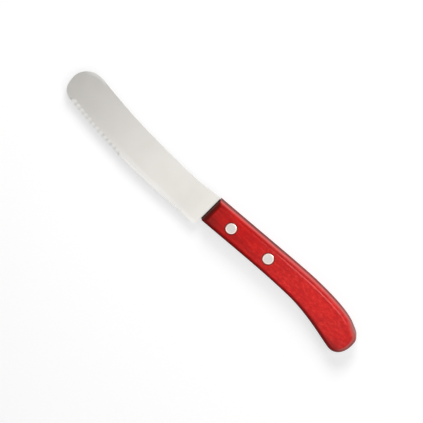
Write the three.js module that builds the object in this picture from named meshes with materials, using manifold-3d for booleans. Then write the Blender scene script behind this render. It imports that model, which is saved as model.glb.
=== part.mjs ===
// Breakfast knife: a broad round-nosed blade with a scalloped edge. Its half tang sits in the sawn slot of
// a one-piece wooden handle and is held there by two two-part rivets.
//
// Millimetres. X runs along the knife from the nose (-X) to the butt (+X), Y from the cutting edge (-Y) to
// the spine (+Y), and Z is up from the surface that the handle lies on. The shapes are drawn with X = 0 at
// the handle's front and Z = 0 at the middle of the thickness, and the finished group is moved so that its
// origin is at the bottom centre of its box.

import Module from 'manifold-3d';
import * as THREE from 'three';
import { mergeVertices } from 'three/addons/utils/BufferGeometryUtils.js';

// Blade outline. Setbacks from the nose or the handle, heights and depths from the knife's long axis.
const BLADE_LENGTH = 108.6;
const NOSE_HEIGHT = 1.8;
const CROWN_SETBACK = 11.6;
const CROWN_HEIGHT = 12.4;
const WAIST_SETBACK = 21.4;
const WAIST_HEIGHT = 7.5;
const TOE_SETBACK = 8.5;
const TOE_DEPTH = 9.35;
const BELLY_SETBACK = 41.8;
const BELLY_DEPTH = 13.85;
const HEEL_DEPTH = 12.4;
const HEEL_SETBACK = 0.6;
const HEEL_RADIUS = 2.4;
const TOE_FALL = 0.22;
const HEEL_RISE = 0.06;

// Blade thickness and grind.
const BLADE_THICKNESS = 1.5;
const NOSE_THICKNESS = 1.1;
const EDGE_THICKNESS = 0.4;
const RICASSO_LENGTH = 3;
const PLUNGE_LENGTH = 16;

// Scallops along the front of the edge, each hollowed into the upper face by a leaning wheel.
const SCALLOPED_LENGTH = 40;
const SCALLOP_PITCH = 3.3;
const SCALLOP_DEPTH = 0.5;
const SCALLOP_TILT_DEGREES = 77;

// Plain bevel along the rest of the edge, on the upper face.
const BEVEL_WIDTH = 1.4;
const BEVEL_DROP = 0.14;
const BEVEL_FADE = 4;

// Handle outline, with setbacks from the butt.
const HANDLE_LENGTH = 113;
const HANDLE_THICKNESS = 12;
const FRONT_SPINE_HEIGHT = 8.9;
const FRONT_BELLY_DEPTH = 7.15;
const FRONT_RISE = 0.05;
const CREST_SETBACK = 40.6;
const CREST_HEIGHT = 12.6;
const RUMP_SETBACK = 8.2;
const RUMP_HEIGHT = 8.9;
const RUMP_FALL = 0.45;
const BUTT_DEPTH = 0.2;
const PALM_CORNER_SETBACK = 7.8;
const PALM_CORNER_DEPTH = 10.45;
const HOLLOW_SETBACK = 47.9;
const HOLLOW_DEPTH = 4.3;
const ROUND_OVER = 3;
const FRONT_CORNER_RADIUS = 0.9;

// How full each curve is where it leaves its first point and where it reaches its last, as a share of the
// distance between them.
const SHOULDER_FULLNESS = [0.47, 0.5];
const BACK_FULLNESS = [0.67, 0.06];
const NOSE_TOP_FULLNESS = [0.4, 0.38];
const NOSE_BOTTOM_FULLNESS = [0.68, 0.3];
const FORE_EDGE_FULLNESS = [0.1, 0.52];
const REAR_EDGE_FULLNESS = [0.4, 0.1];
const HEEL_FULLNESS = [0.39, 0.39];
const HANDLE_SPINE_FULLNESS = [0.36, 0.16];
const RUMP_FULLNESS = [0.45, 0.2];
const BUTT_FULLNESS = [0.55, 0.48];
const PALM_FULLNESS = [0.55, 0.3];
const HOLLOW_FULLNESS = [0.1, 0.45];
const HANDLE_BELLY_FULLNESS = [0.35, 0.33];

// Rivets: a stud with a solid pin, pressed into a socket with a tubular shank.
const FRONT_RIVET_SETBACK = 15.35;
const RIVET_SPACING = 27.35;
const REAR_RIVET_RISE = 0.5;
const RIVET_HEAD_DIAMETER = 6.6;
const RIVET_HEAD_THICKNESS = 1.6;
const RIVET_HEAD_CHAMFER = 0.25;
const RIVET_RECESS = 0.05;
const RIVET_TUBE_DIAMETER = 4.4;
const RIVET_TUBE_WALL = 0.6;
const RIVET_END_GAP = 0.6;
const TANG_TAIL = 6;
const TANG_LAP = 2;

// Clearances between pieces.
const TANG_CLEARANCE = 0.3;
const RIVET_CLEARANCE = 0.3;
const SEAT_CLEARANCE = 0.1;

// Facets.
const CURVE_FACETS = 14;
const ROUND_OVER_FACETS = 6;
const RIVET_FACETS = 36;
const WHEEL_FACETS = 300;
const GRIND_STATIONS = 48;
const WELD_DISTANCE = 1e-4;

const rivetX = [FRONT_RIVET_SETBACK, FRONT_RIVET_SETBACK + RIVET_SPACING];
const tangLength = rivetX[1] + TANG_TAIL;
const halfHandle = HANDLE_THICKNESS / 2;
const halfBlade = BLADE_THICKNESS / 2;
// Far enough to run any cutter past the whole knife.
const beyond = BLADE_LENGTH + HANDLE_LENGTH;

const wasm = await Module();
wasm.setup();

/** Turns a closed geometry into a solid that can be joined and cut. */
function solidOf(geometry) {
  const bare = new THREE.BufferGeometry();
  bare.setAttribute('position', geometry.getAttribute('position'));
  bare.setIndex(geometry.getIndex());
  const merged = mergeVertices(bare, WELD_DISTANCE);
  return new wasm.Manifold(new wasm.Mesh({
    numProp: 3,
    vertProperties: Float32Array.from(merged.getAttribute('position').array),
    triVerts: Uint32Array.from(merged.getIndex().array),
  }));
}

/** Turns a solid back into a geometry. */
function geometryOf(solid) {
  const mesh = solid.getMesh();
  const geometry = new THREE.BufferGeometry();
  geometry.setAttribute('position', new THREE.BufferAttribute(mesh.vertProperties, 3));
  geometry.setIndex(new THREE.BufferAttribute(mesh.triVerts, 1));
  geometry.computeVertexNormals();
  return geometry;
}

const point = (x, y) => new THREE.Vector2(x, y);
const heading = (x, y) => new THREE.Vector2(x, y).normalize();

/** A smooth curve that leaves one point and reaches another in given directions. */
function sweep(from, leaving, to, arriving, fullness) {
  const reach = from.distanceTo(to);
  const first = from.clone().addScaledVector(leaving, reach * fullness[0]);
  const second = to.clone().addScaledVector(arriving, -reach * fullness[1]);
  return new THREE.CubicBezierCurve(from, first, second, to);
}

const straight = (from, to) => new THREE.LineCurve(from, to);

/** A closed outline made of curves that follow one another. */
function outlineOf(curves) {
  const outline = new THREE.Shape();
  curves.forEach((curve) => outline.add(curve));
  return outline;
}

/** Height of a curve that runs along X, where it passes a given X. */
function heightAt(curve, x) {
  const rising = curve.getPoint(1).x > curve.getPoint(0).x;
  let low = 0;
  let high = 1;
  for (let step = 0; step < 40; step += 1) {
    const middle = (low + high) / 2;
    const short = curve.getPoint(middle).x < x;
    if (short === rising) low = middle;
    else high = middle;
  }
  return curve.getPoint(low).y;
}

/** A plate of even thickness with a given outline, centred on the middle of the thickness. */
function plate(outline, thickness) {
  const geometry = new THREE.ExtrudeGeometry(outline, {
    depth: thickness,
    bevelEnabled: false,
    curveSegments: CURVE_FACETS,
  });
  return geometry.translate(0, 0, -thickness / 2);
}

/** A block between two corners. */
function block(low, high) {
  const size = new THREE.Vector3().subVectors(high, low);
  const middle = new THREE.Vector3().addVectors(low, high).multiplyScalar(0.5);
  return new THREE.BoxGeometry(size.x, size.y, size.z).translate(middle.x, middle.y, middle.z);
}

/** A turned piece about the Z axis, from [radius, z] points that start and end on the axis. */
function turned(profile) {
  const points = profile.map(([radius, z]) => point(radius, z));
  return new THREE.LatheGeometry(points, RIVET_FACETS).rotateX(Math.PI / 2);
}

// Outline curves of the handle.
const toButt = heading(1, 0);
const toNose = heading(-1, 0);
const toSpine = heading(0, 1);
const toEdge = heading(0, -1);
const frontSlope = heading(1, FRONT_RISE);
const rumpSlope = heading(1, -RUMP_FALL);
const frontSpine = point(0, FRONT_SPINE_HEIGHT);
const frontBelly = point(0, -FRONT_BELLY_DEPTH);
const crest = point(HANDLE_LENGTH - CREST_SETBACK, CREST_HEIGHT);
const rump = point(HANDLE_LENGTH - RUMP_SETBACK, RUMP_HEIGHT);
const butt = point(HANDLE_LENGTH, -BUTT_DEPTH);
const palmCorner = point(HANDLE_LENGTH - PALM_CORNER_SETBACK, -PALM_CORNER_DEPTH);
const hollow = point(HANDLE_LENGTH - HOLLOW_SETBACK, -HOLLOW_DEPTH);
const handleSpine = sweep(frontSpine, frontSlope, crest, toButt, HANDLE_SPINE_FULLNESS);
const handleBelly = sweep(hollow, toNose, frontBelly, frontSlope.clone().negate(), HANDLE_BELLY_FULLNESS);
const handleRound = [
  handleSpine,
  sweep(crest, toButt, rump, rumpSlope, RUMP_FULLNESS),
  sweep(rump, rumpSlope, butt, toEdge, BUTT_FULLNESS),
  sweep(butt, toEdge, palmCorner, toNose, PALM_FULLNESS),
  sweep(palmCorner, toNose, hollow, toNose, HOLLOW_FULLNESS),
  handleBelly,
];

// The rivets sit at the middle of the handle's width, the rear one a little nearer the spine.
const midWidth = (x) => (heightAt(handleSpine, x) + heightAt(handleBelly, x)) / 2;
const rivetPlaces = [
  point(rivetX[0], midWidth(rivetX[0])),
  point(rivetX[1], midWidth(rivetX[1]) + REAR_RIVET_RISE),
];

// Outline curves of the blade.
const nose = point(-BLADE_LENGTH, NOSE_HEIGHT);
const crown = point(CROWN_SETBACK - BLADE_LENGTH, CROWN_HEIGHT);
const waist = point(-WAIST_SETBACK, WAIST_HEIGHT);
const toe = point(TOE_SETBACK - BLADE_LENGTH, -TOE_DEPTH);
const belly = point(-BELLY_SETBACK, -BELLY_DEPTH);
const heel = point(-HEEL_SETBACK - HEEL_RADIUS, -HEEL_DEPTH);
const heelBack = point(-HEEL_SETBACK, HEEL_RADIUS - HEEL_DEPTH);
const choil = point(-HEEL_SETBACK, -FRONT_BELLY_DEPTH);
const toeSlope = heading(1, -TOE_FALL);
const heelSlope = heading(1, HEEL_RISE);
const lapBelly = point(TANG_LAP, TANG_LAP - FRONT_BELLY_DEPTH);
const lapSpine = point(TANG_LAP, FRONT_SPINE_HEIGHT - TANG_LAP);
const bladeEdge = [
  sweep(toe, toeSlope, belly, toButt, FORE_EDGE_FULLNESS),
  sweep(belly, toButt, heel, heelSlope, REAR_EDGE_FULLNESS),
];
const bladeRound = [
  sweep(frontSpine, toNose, waist, toNose, SHOULDER_FULLNESS),
  sweep(waist, toNose, crown, toNose, BACK_FULLNESS),
  sweep(crown, toNose, nose, toEdge, NOSE_TOP_FULLNESS),
  sweep(nose, toEdge, toe, toeSlope, NOSE_BOTTOM_FULLNESS),
  ...bladeEdge,
  sweep(heel, heelSlope, heelBack, toSpine, HEEL_FULLNESS),
  straight(heelBack, choil),
  straight(choil, frontBelly),
  straight(frontBelly, lapBelly),
  straight(lapBelly, lapSpine),
  straight(lapSpine, frontSpine),
];

/** The handle's outline, run straight on past its front so that the front can be shaped by a cut. */
function handlePrism() {
  const lead = HANDLE_THICKNESS;
  const leadSpine = frontSpine.clone().addScaledVector(frontSlope, -lead);
  const leadBelly = frontBelly.clone().addScaledVector(frontSlope, -lead);
  const outline = outlineOf([
    straight(leadSpine, frontSpine),
    ...handleRound,
    straight(frontBelly, leadBelly),
    straight(leadBelly, leadSpine),
  ]);
  const wall = HANDLE_THICKNESS - 2 * ROUND_OVER;
  const geometry = new THREE.ExtrudeGeometry(outline, {
    depth: wall,
    bevelEnabled: true,
    bevelThickness: ROUND_OVER,
    bevelSize: ROUND_OVER,
    bevelOffset: -ROUND_OVER,
    bevelSegments: ROUND_OVER_FACETS,
    curveSegments: CURVE_FACETS,
  });
  return solidOf(geometry.translate(0, 0, -wall / 2));
}

/** What the front leaves of the handle, seen from the side: both arrises rounded over. */
function frontArrises() {
  const corner = halfHandle - ROUND_OVER;
  const profile = new THREE.Shape();
  profile.moveTo(beyond, -halfHandle);
  profile.lineTo(beyond, halfHandle);
  profile.lineTo(ROUND_OVER, halfHandle);
  profile.absarc(ROUND_OVER, corner, ROUND_OVER, Math.PI / 2, Math.PI, false);
  profile.absarc(ROUND_OVER, -corner, ROUND_OVER, Math.PI, 1.5 * Math.PI, false);
  profile.closePath();
  return solidOf(plate(profile, beyond).rotateX(Math.PI / 2));
}

/** What the front leaves of the handle, seen from above: both upright corners eased. */
function frontCorners() {
  const ease = FRONT_CORNER_RADIUS;
  const spineY = heightAt(handleSpine, ease);
  const bellyY = heightAt(handleBelly, ease);
  const outline = new THREE.Shape();
  outline.moveTo(0, bellyY + ease);
  outline.quadraticCurveTo(0, bellyY, ease, bellyY);
  outline.lineTo(ease, -beyond);
  outline.lineTo(beyond, -beyond);
  outline.lineTo(beyond, beyond);
  outline.lineTo(ease, beyond);
  outline.lineTo(ease, spineY);
  outline.quadraticCurveTo(0, spineY, 0, spineY - ease);
  outline.closePath();
  return solidOf(plate(outline, HANDLE_THICKNESS));
}

/** The sawn slot for the tang, open at the front, the spine and the belly. */
function tangSlot() {
  const halfSlot = halfBlade + TANG_CLEARANCE;
  const low = new THREE.Vector3(-beyond, -beyond, -halfSlot);
  const high = new THREE.Vector3(tangLength + TANG_CLEARANCE, beyond, halfSlot);
  return solidOf(block(low, high));
}

const boreRadius = RIVET_TUBE_DIAMETER / 2 + RIVET_CLEARANCE;
const headSeat = halfHandle - RIVET_RECESS - RIVET_HEAD_THICKNESS;

/** A rivet's stepped bore: a through hole with a counterbore for each head. */
function rivetBore(place) {
  const counterbore = RIVET_HEAD_DIAMETER / 2 + RIVET_CLEARANCE;
  const floor = headSeat - SEAT_CLEARANCE;
  const profile = [
    [0, -HANDLE_THICKNESS],
    [counterbore, -HANDLE_THICKNESS],
    [counterbore, -floor],
    [boreRadius, -floor],
    [boreRadius, floor],
    [counterbore, floor],
    [counterbore, HANDLE_THICKNESS],
    [0, HANDLE_THICKNESS],
  ];
  return solidOf(turned(profile).translate(place.x, place.y, 0));
}

/** The hole in the tang that a rivet's shank passes through. */
function tangHole(place) {
  const profile = [
    [0, -BLADE_THICKNESS],
    [boreRadius, -BLADE_THICKNESS],
    [boreRadius, BLADE_THICKNESS],
    [0, BLADE_THICKNESS],
  ];
  return solidOf(turned(profile).translate(place.x, place.y, 0));
}

function handleGeometry() {
  let handle = handlePrism().intersect(frontArrises()).intersect(frontCorners()).subtract(tangSlot());
  rivetPlaces.forEach((place) => {
    handle = handle.subtract(rivetBore(place));
  });
  return geometryOf(handle);
}

/** The tang: the handle's own outline, as far back as the slot goes. */
function tangPlate() {
  const outline = outlineOf([...handleRound, straight(frontBelly, frontSpine)]);
  const reach = block(
    new THREE.Vector3(-beyond, -beyond, -BLADE_THICKNESS),
    new THREE.Vector3(tangLength, beyond, BLADE_THICKNESS),
  );
  return solidOf(plate(outline, BLADE_THICKNESS)).intersect(solidOf(reach));
}

/** The blade's blank, which laps the tang a little way into the handle. */
function bladePlate() {
  return solidOf(plate(outlineOf(bladeRound), BLADE_THICKNESS));
}

/** Blade thickness at the spine, which tapers towards the nose. */
function spineThicknessAt(x) {
  return THREE.MathUtils.mapLinear(x, 0, -BLADE_LENGTH, BLADE_THICKNESS, NOSE_THICKNESS);
}

/** How far the grind has faded in, from none at the ricasso to full ahead of the plunge. */
function grindAt(x) {
  return THREE.MathUtils.smoothstep(-x, RICASSO_LENGTH, RICASSO_LENGTH + PLUNGE_LENGTH);
}

/** Height of the upper face above the middle of the thickness, before the edge is bevelled. */
function faceAt(x, y) {
  const spineHalf = spineThicknessAt(x) / 2;
  const edgeHalf = THREE.MathUtils.lerp(spineHalf, EDGE_THICKNESS / 2, grindAt(x));
  return THREE.MathUtils.mapLinear(y, CROWN_HEIGHT, -BELLY_DEPTH, spineHalf, edgeHalf);
}

/** Height of the cutting edge in the outline, held level beyond both of its ends. */
function edgeAt(x) {
  const held = THREE.MathUtils.clamp(x, toe.x, heel.x);
  return heightAt(held < belly.x ? bladeEdge[0] : bladeEdge[1], held);
}

/** How far the bevel drops below the face at the edge: nothing beside the scallops or at the ricasso. */
function bevelDropAt(x) {
  const start = toe.x + SCALLOPED_LENGTH;
  return BEVEL_DROP * THREE.MathUtils.smoothstep(x, start, start + BEVEL_FADE) * grindAt(x);
}

/** The wedge that the grind leaves, lofted through sections along the blade and run past its outline. */
function grindWedge() {
  const positions = [];
  const faces = [];
  for (let station = 0; station <= GRIND_STATIONS; station += 1) {
    const x = THREE.MathUtils.lerp(-BLADE_LENGTH - TANG_LAP, TANG_LAP, station / GRIND_STATIONS);
    const crease = edgeAt(x) + BEVEL_WIDTH;
    const outside = edgeAt(x) - BEVEL_WIDTH;
    positions.push(x, CROWN_HEIGHT, faceAt(x, CROWN_HEIGHT));
    positions.push(x, crease, faceAt(x, crease));
    positions.push(x, outside, faceAt(x, outside) - 2 * bevelDropAt(x));
    positions.push(x, outside, -faceAt(x, outside));
    positions.push(x, crease, -faceAt(x, crease));
    positions.push(x, CROWN_HEIGHT, -faceAt(x, CROWN_HEIGHT));
  }
  const sides = 6;
  for (let station = 0; station < GRIND_STATIONS; station += 1) {
    for (let side = 0; side < sides; side += 1) {
      const here = station * sides + side;
      const next = station * sides + ((side + 1) % sides);
      faces.push(here, next, here + sides, next, next + sides, here + sides);
    }
  }
  const last = GRIND_STATIONS * sides;
  for (let side = 1; side < sides - 1; side += 1) {
    faces.push(0, side + 1, side, last, last + side, last + side + 1);
  }
  const geometry = new THREE.BufferGeometry();
  geometry.setAttribute('position', new THREE.Float32BufferAttribute(positions, 3));
  geometry.setIndex(faces);
  return solidOf(geometry);
}

/** One wheel for each scallop, spaced evenly along the edge and leant over to hollow the upper face. */
function scallopWheels() {
  const edge = new THREE.CurvePath();
  bladeEdge.forEach((curve) => edge.add(curve));
  const edgeLength = edge.getLength();
  const tilt = THREE.MathUtils.degToRad(SCALLOP_TILT_DEGREES);
  // The wheel leans, so it bites less deep than the notch that it leaves in the outline.
  const bite = SCALLOP_DEPTH * Math.cos(tilt);
  const radius = SCALLOP_PITCH ** 2 / (8 * bite) + bite / 2;
  const wheels = [];
  for (let run = SCALLOP_PITCH / 2; run < SCALLOPED_LENGTH; run += SCALLOP_PITCH) {
    const place = edge.getPointAt(run / edgeLength);
    const along = edge.getTangentAt(run / edgeLength);
    const wheel = new THREE.CylinderGeometry(radius, radius, 4 * radius, WHEEL_FACETS)
      .rotateX(Math.PI / 2)
      .translate(0, -radius, 0)
      .rotateX(-tilt)
      .translate(0, SCALLOP_DEPTH, -EDGE_THICKNESS / 2)
      .rotateZ(Math.atan2(along.y, along.x))
      .translate(place.x, place.y, 0);
    wheels.push(solidOf(wheel));
  }
  return wheels;
}

function bladeGeometry() {
  let blade = bladePlate().intersect(grindWedge()).add(tangPlate());
  scallopWheels().forEach((wheel) => {
    blade = blade.subtract(wheel);
  });
  rivetPlaces.forEach((place) => {
    blade = blade.subtract(tangHole(place));
  });
  return geometryOf(blade);
}

const headRadius = RIVET_HEAD_DIAMETER / 2;
const headFace = halfHandle - RIVET_RECESS;
const tubeRadius = RIVET_TUBE_DIAMETER / 2;
const tubeBore = tubeRadius - RIVET_TUBE_WALL;
const tubeFloor = -headSeat;
const pinRadius = tubeBore - RIVET_CLEARANCE;

/** The stud: a flat chamfered head on the upper face and a solid pin down into the socket. */
function studGeometry() {
  const pinEnd = tubeFloor + RIVET_END_GAP;
  return turned([
    [0, pinEnd],
    [pinRadius - RIVET_HEAD_CHAMFER, pinEnd],
    [pinRadius, pinEnd + RIVET_HEAD_CHAMFER],
    [pinRadius, headSeat],
    [headRadius, headSeat],
    [headRadius, headFace - RIVET_HEAD_CHAMFER],
    [headRadius - RIVET_HEAD_CHAMFER, headFace],
    [0, headFace],
  ]);
}

/** The socket: the same head on the underside, and a tube that takes the stud's pin. */
function socketGeometry() {
  const tubeEnd = headSeat - RIVET_END_GAP;
  return turned([
    [0, -headFace],
    [headRadius - RIVET_HEAD_CHAMFER, -headFace],
    [headRadius, RIVET_HEAD_CHAMFER - headFace],
    [headRadius, -headSeat],
    [tubeRadius, -headSeat],
    [tubeRadius, tubeEnd],
    [tubeBore, tubeEnd],
    [tubeBore, tubeFloor],
    [0, tubeFloor],
  ]);
}

const steel = { color: 0xc9c6c0, roughness: 0.3, metalness: 1 };
const redWood = { color: 0xbf2a28, roughness: 0.35, metalness: 0 };
const rivetMetal = { color: 0xd8d8d6, roughness: 0.35, metalness: 1 };

function piece(name, geometry, finish) {
  const mesh = new THREE.Mesh(geometry, new THREE.MeshStandardMaterial(finish));
  mesh.name = name;
  return mesh;
}

const knife = new THREE.Group();
knife.add(piece('blade', bladeGeometry(), steel));
knife.add(piece('handle', handleGeometry(), redWood));
['front', 'rear'].forEach((end, index) => {
  const place = rivetPlaces[index];
  const rivet = new THREE.Group();
  rivet.add(piece(`${end}_rivet_stud`, studGeometry(), rivetMetal));
  rivet.add(piece(`${end}_rivet_socket`, socketGeometry(), rivetMetal));
  rivet.position.set(place.x, place.y, 0);
  knife.add(rivet);
});

const box = new THREE.Box3().setFromObject(knife);
const middle = box.getCenter(new THREE.Vector3());
knife.position.set(-middle.x, -middle.y, -box.min.z);

export default knife;
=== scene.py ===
"""Breakfast knife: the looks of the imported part, under plain soft studio light."""

import logging
import math
from abc import ABC, abstractmethod
from collections.abc import Callable
from dataclasses import dataclass
from enum import Enum

import bmesh
import bpy
from mathutils import Matrix, Vector


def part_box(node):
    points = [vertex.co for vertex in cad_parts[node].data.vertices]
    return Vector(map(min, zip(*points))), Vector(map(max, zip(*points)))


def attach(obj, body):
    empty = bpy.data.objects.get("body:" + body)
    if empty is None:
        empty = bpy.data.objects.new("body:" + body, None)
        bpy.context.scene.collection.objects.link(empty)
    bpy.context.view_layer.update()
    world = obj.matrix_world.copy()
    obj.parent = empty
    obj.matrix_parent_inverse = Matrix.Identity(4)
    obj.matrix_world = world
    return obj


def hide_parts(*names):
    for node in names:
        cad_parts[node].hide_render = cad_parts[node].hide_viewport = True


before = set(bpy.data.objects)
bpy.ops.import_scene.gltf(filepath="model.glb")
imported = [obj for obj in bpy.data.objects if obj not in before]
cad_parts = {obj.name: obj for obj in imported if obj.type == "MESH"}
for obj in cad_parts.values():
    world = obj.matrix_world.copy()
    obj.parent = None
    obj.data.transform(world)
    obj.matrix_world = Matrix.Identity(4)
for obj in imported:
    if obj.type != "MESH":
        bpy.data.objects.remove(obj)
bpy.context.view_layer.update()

MM = 0.001
PICTURE_WIDTH = 423
# Points closer than this are merged, and a place is met within NEAR.
MERGE = 0.002 * MM
NEAR = 0.01 * MM
# Facets around a turned or bored circle.
ROUND_FACETS = 96
# How strongly large faces stay flat in smooth shading, where 50 is neutral.
FLAT_WEIGHT = 100

Pair = tuple[float, float]
Triple = tuple[float, float, float]
Colour = tuple[float, float, float, float]
Tones = tuple[tuple[float, Colour], ...]
Socket = bpy.types.NodeSocket
BLACK: Colour = (0, 0, 0, 1)
WHITE: Colour = (1, 1, 1, 1)
# Painted highlight on the blade's steel, at the edge and at the nose.
PAINTED_STEEL_HIGHLIGHT: Colour = (0.98, 0.96, 0.93, 1)
# Painted shade on the blade where it meets the handle's front.
PAINTED_SEAM_SHADE: Colour = (0.05, 0.03, 0.026, 1)
# Most of a pattern's values lie in this range.
PATTERN_RANGE: Pair = (0.3, 0.7)

log = logging.getLogger("breakfast_knife")


class Slot(Enum):
    """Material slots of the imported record."""

    BLADE = "blade_steel"
    WOOD = "red_wood"
    RIVET = "rivet_metal"


class Half(Enum):
    """The two halves of a cutler's rivet."""

    STUD = "stud"
    SOCKET = "socket"


class Area(Enum):
    """Areas of the blade, in the order of their finishes."""

    FACE = 0
    EDGE = 1
    SCALLOPS = 2
    TANG = 3
    SPINE = 4


class Element(Enum):
    """What can be selected in an open mesh."""

    VERT = "verts"
    EDGE = "edges"
    FACE = "faces"


class Cut(Enum):
    """Ways to work one piece with another."""

    AWAY = "DIFFERENCE"
    JOIN = "UNION"
    COMMON = "INTERSECT"


class Axis(Enum):
    """The knife's directions: along it to the butt, across it to the spine, and up."""

    ALONG = "X"
    ACROSS = "Y"
    UP = "Z"


class Calculation(Enum):
    """Calculations that a material makes with its values."""

    TIMES = "MULTIPLY"
    TIMES_PLUS = "MULTIPLY_ADD"
    LESS = "SUBTRACT"
    GREATER = "MAXIMUM"
    SIZE = "ABSOLUTE"


class Bench:
    """Hand work with Blender's operators, on one object at a time."""

    @staticmethod
    def clear() -> None:
        """Deselect everything."""
        bpy.ops.object.select_all(action="DESELECT")

    @staticmethod
    def pick(*pieces: bpy.types.Object) -> None:
        """Select some pieces and nothing else, the last of them active.

        Args:
            pieces: The objects to select.
        """
        Bench.clear()
        for piece in pieces:
            piece.select_set(True)
            bpy.context.view_layer.objects.active = piece

    @staticmethod
    def open(piece: bpy.types.Object) -> None:
        """Open a piece in edit mode, with nothing in it selected.

        Args:
            piece: The mesh object.
        """
        Bench.pick(piece)
        bpy.ops.object.mode_set(mode="EDIT")
        bpy.ops.mesh.select_all(action="DESELECT")

    @staticmethod
    def close() -> None:
        """Leave edit mode."""
        bpy.ops.object.mode_set(mode="OBJECT")

    @staticmethod
    def open_all(piece: bpy.types.Object) -> None:
        """Open a piece in edit mode, with everything in it selected."""
        Bench.open(piece)
        bpy.ops.mesh.select_all(action="SELECT")

    @staticmethod
    def choose(piece: bpy.types.Object, kind: Element, test: Callable[..., bool]) -> None:
        """Select the elements of the open mesh that pass a test, and no others.

        Args:
            piece: The object in edit mode.
            kind: The kind of element.
            test: Tells from the places of an element's corners whether it is wanted.
        """
        bpy.ops.mesh.select_all(action="DESELECT")
        bpy.ops.mesh.select_mode(type=kind.name)
        mesh = bmesh.from_edit_mesh(piece.data)
        for element in getattr(mesh, kind.value):
            corners = [element] if kind is Element.VERT else element.verts
            element.select_set(test(*(corner.co for corner in corners)))
        mesh.select_flush_mode()
        bmesh.update_edit_mesh(piece.data)

    @staticmethod
    def round_over(radius: float, steps: int) -> None:
        """Round over the selected edges of the open mesh.

        Args:
            radius: Radius of the rounding, in millimetres.
            steps: Facets across it.
        """
        bpy.ops.mesh.bevel(
            offset_type="OFFSET", offset=radius * MM, segments=steps, profile=0.5, affect="EDGES",
            clamp_overlap=False,
        )

    @staticmethod
    def block(name: str, centre: Vector, size: Triple) -> bpy.types.Object:
        """Make a block.

        Args:
            name: The block's name.
            centre: Its centre, in metres.
            size: Its length, width and height, in millimetres.

        Returns:
            The block.
        """
        Bench.clear()
        bpy.ops.mesh.primitive_cube_add(size=1, location=centre)
        block = bpy.context.object
        block.scale = Vector(size) * MM
        Bench.settle(block, name)
        return block

    @staticmethod
    def rod(radius: float, length: float, place: Vector, facets: int = ROUND_FACETS) -> bpy.types.Object:
        """Make an upright rod.

        Args:
            radius: Its radius, in millimetres.
            length: Its length, in millimetres.
            place: Its centre, in metres.
            facets: Facets around it.

        Returns:
            The rod.
        """
        Bench.clear()
        bpy.ops.mesh.primitive_cylinder_add(
            vertices=facets, radius=radius * MM, depth=length * MM, location=place
        )
        return bpy.context.object

    @staticmethod
    def tidy(piece: bpy.types.Object) -> None:
        """Merge doubles and turn the faces of a closed piece outwards.

        Args:
            piece: The mesh object.
        """
        Bench.open_all(piece)
        bpy.ops.mesh.remove_doubles(threshold=MERGE)
        bpy.ops.mesh.normals_make_consistent(inside=False)
        Bench.close()

    @staticmethod
    def cut(piece: bpy.types.Object, tool: bpy.types.Object, way: Cut) -> None:
        """Cut or join a piece with a tool object, which is then thrown away.

        Args:
            piece: The object that stays.
            tool: The object that cuts it or joins it.
            way: What the tool does to it.
        """
        Bench.pick(piece)
        modifier = piece.modifiers.new("cut", "BOOLEAN")
        modifier.operation = way.value
        modifier.solver = "MANIFOLD"
        modifier.object = tool
        bpy.ops.object.modifier_apply(modifier=modifier.name)
        bpy.data.objects.remove(tool)

    @staticmethod
    def settle(piece: bpy.types.Object, name: str) -> None:
        """Apply a piece's place to its mesh, and name both.

        Args:
            piece: The mesh object.
            name: The piece's name.
        """
        Bench.pick(piece)
        bpy.ops.object.transform_apply(location=True, rotation=True, scale=True)
        piece.name = name
        piece.data.name = name

    @staticmethod
    def smooth(piece: bpy.types.Object, angle: float) -> None:
        """Shade a piece smooth below an angle, with its large faces kept flat.

        Args:
            piece: The mesh object.
            angle: Edges sharper than this, in degrees, stay sharp.
        """
        Bench.pick(piece)
        bpy.ops.object.shade_smooth_by_angle(angle=math.radians(angle))
        modifier = piece.modifiers.new("flat_faces", "WEIGHTED_NORMAL")
        modifier.mode = "FACE_AREA"
        modifier.weight = FLAT_WEIGHT
        modifier.keep_sharp = True
        bpy.ops.object.modifier_apply(modifier=modifier.name)


def ease(value: float, low: float, high: float) -> float:
    """Rise smoothly from 0 to 1 between two values.

    Args:
        value: The value.
        low: Where the rise starts.
        high: Where it ends.

    Returns:
        The share of the rise.
    """
    share = min(max((value - low) / (high - low), 0), 1)
    return share * share * (3 - 2 * share)


@dataclass(frozen=True)
class Stroke:
    """One curve of an outline, from a start to an end, in millimetres.

    Attributes:
        start: Where the stroke starts.
        end: Where it ends.
        leaving: Direction in which it leaves the start, or None for a straight stroke.
        arriving: Direction in which it reaches the end.
        fullness: How far each end's direction holds, as a share of the distance.
    """

    start: Pair
    end: Pair
    leaving: Pair | None = None
    arriving: Pair | None = None
    fullness: Pair = (1 / 3, 1 / 3)

    def pulls(self) -> tuple[Vector, Vector]:
        """Find the two inner control points.

        Returns:
            The control point by the start and the one by the end.
        """
        start, end = Vector(self.start), Vector(self.end)
        reach = (end - start).length
        along = (end - start).normalized()
        leaving = Vector(self.leaving).normalized() if self.leaving else along
        arriving = Vector(self.arriving).normalized() if self.arriving else along
        return start + leaving * reach * self.fullness[0], end - arriving * reach * self.fullness[1]


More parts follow.
